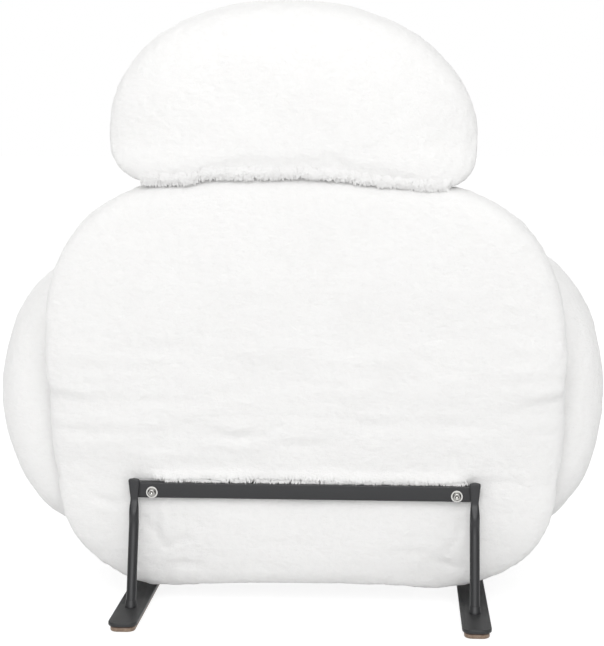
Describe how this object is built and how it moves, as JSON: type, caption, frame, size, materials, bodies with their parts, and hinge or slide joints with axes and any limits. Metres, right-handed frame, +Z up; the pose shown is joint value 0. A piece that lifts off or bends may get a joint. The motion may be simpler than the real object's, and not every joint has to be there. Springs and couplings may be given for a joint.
{
  "type": "folding saucer chair",
  "caption": "Plush lounge chair with round arms and a pill headrest on a bolted steel sled base with wooden soles; the back folds down onto the seat",
  "frame": {"origin": "on the floor under the middle of the chair's bounding box", "axes": "+Z up, the sitter faces -Y, +X to the sitter's left"},
  "size_m": [0.9706, 0.7568, 0.9115],
  "materials": {
    "plush": "short dense white plush pile, matt",
    "coated_steel": "charcoal powder coat, semi-matt",
    "frame_steel": "dark powder coat on the hidden frame",
    "bright_steel": "zinc-plated, bright",
    "wood_sole": "brown hardwood, oiled",
    "plywood": "bare plywood inside the padding",
    "webbing": "black woven sling"
  },
  "bodies": {
    "base": {"runner_left": "coated_steel", "rear_leg_left": "coated_steel", "front_leg_left": "coated_steel", "rear_leg_collar_left": "coated_steel", "front_leg_collar_left": "coated_steel", "sole_left": "wood_sole", "sole_screw_rear_left": "bright_steel", "sole_screw_front_left": "bright_steel", "hinge_pin_left": "bright_steel", "rear_frame_bolt_left": "bright_steel", "rear_bolt_washer_left": "bright_steel", "arm_bolt_rear_left": "bright_steel", "front_frame_bolt_left": "bright_steel", "front_bolt_washer_left": "bright_steel", "arm_bolt_front_left": "bright_steel", "seat_side_rail_left": "frame_steel", "hinge_plate_fixed_left": "frame_steel", "arm_board_left": "plywood", "arm_bolster_left": "plush", "runner_right": "coated_steel", "rear_leg_right": "coated_steel", "front_leg_right": "coated_steel", "rear_leg_collar_right": "coated_steel", "front_leg_collar_right": "coated_steel", "sole_right": "wood_sole", "sole_screw_rear_right": "bright_steel", "sole_screw_front_right": "bright_steel", "hinge_pin_right": "bright_steel", "rear_frame_bolt_right": "bright_steel", "rear_bolt_washer_right": "bright_steel", "arm_bolt_rear_right": "bright_steel", "front_frame_bolt_right": "bright_steel", "front_bolt_washer_right": "bright_steel", "arm_bolt_front_right": "bright_steel", "seat_side_rail_right": "frame_steel", "hinge_plate_fixed_right": "frame_steel", "arm_board_right": "plywood", "arm_bolster_right": "plush", "rear_crossbar": "coated_steel", "front_crossbar": "coated_steel", "rear_cross_rail": "frame_steel", "front_cross_rail": "frame_steel", "seat_front_tube": "frame_steel", "seat_sling": "webbing", "seat_cushion": "plush", "belly_pad": "plush"},
    "back": {"hinge_plate_back_left": "frame_steel", "back_upright_left": "frame_steel", "headrest_post_left": "frame_steel", "hinge_plate_back_right": "frame_steel", "back_upright_right": "frame_steel", "headrest_post_right": "frame_steel", "back_top_tube": "frame_steel", "back_lower_tube": "frame_steel", "back_sling": "webbing", "back_cushion": "plush", "rear_shell": "plush"},
    "headrest": {"headrest_axle": "bright_steel", "headrest_board": "frame_steel", "head_pillow": "plush"}
  },
  "joints": [
    {"name": "back_fold", "type": "hinge", "parent": "base", "child": "back", "pos_m": [0, 0.1256, 0.392], "axis": [1, 0, 0], "range_deg": [0, 102], "deforming": ["arm_bolster_left", "arm_bolster_right"]},
    {"name": "headrest_tilt", "type": "hinge", "parent": "back", "child": "headrest", "pos_m": [0, 0.27845, 0.70711], "axis": [-1, 0, 0], "range_deg": [0, 30]}
  ]
}
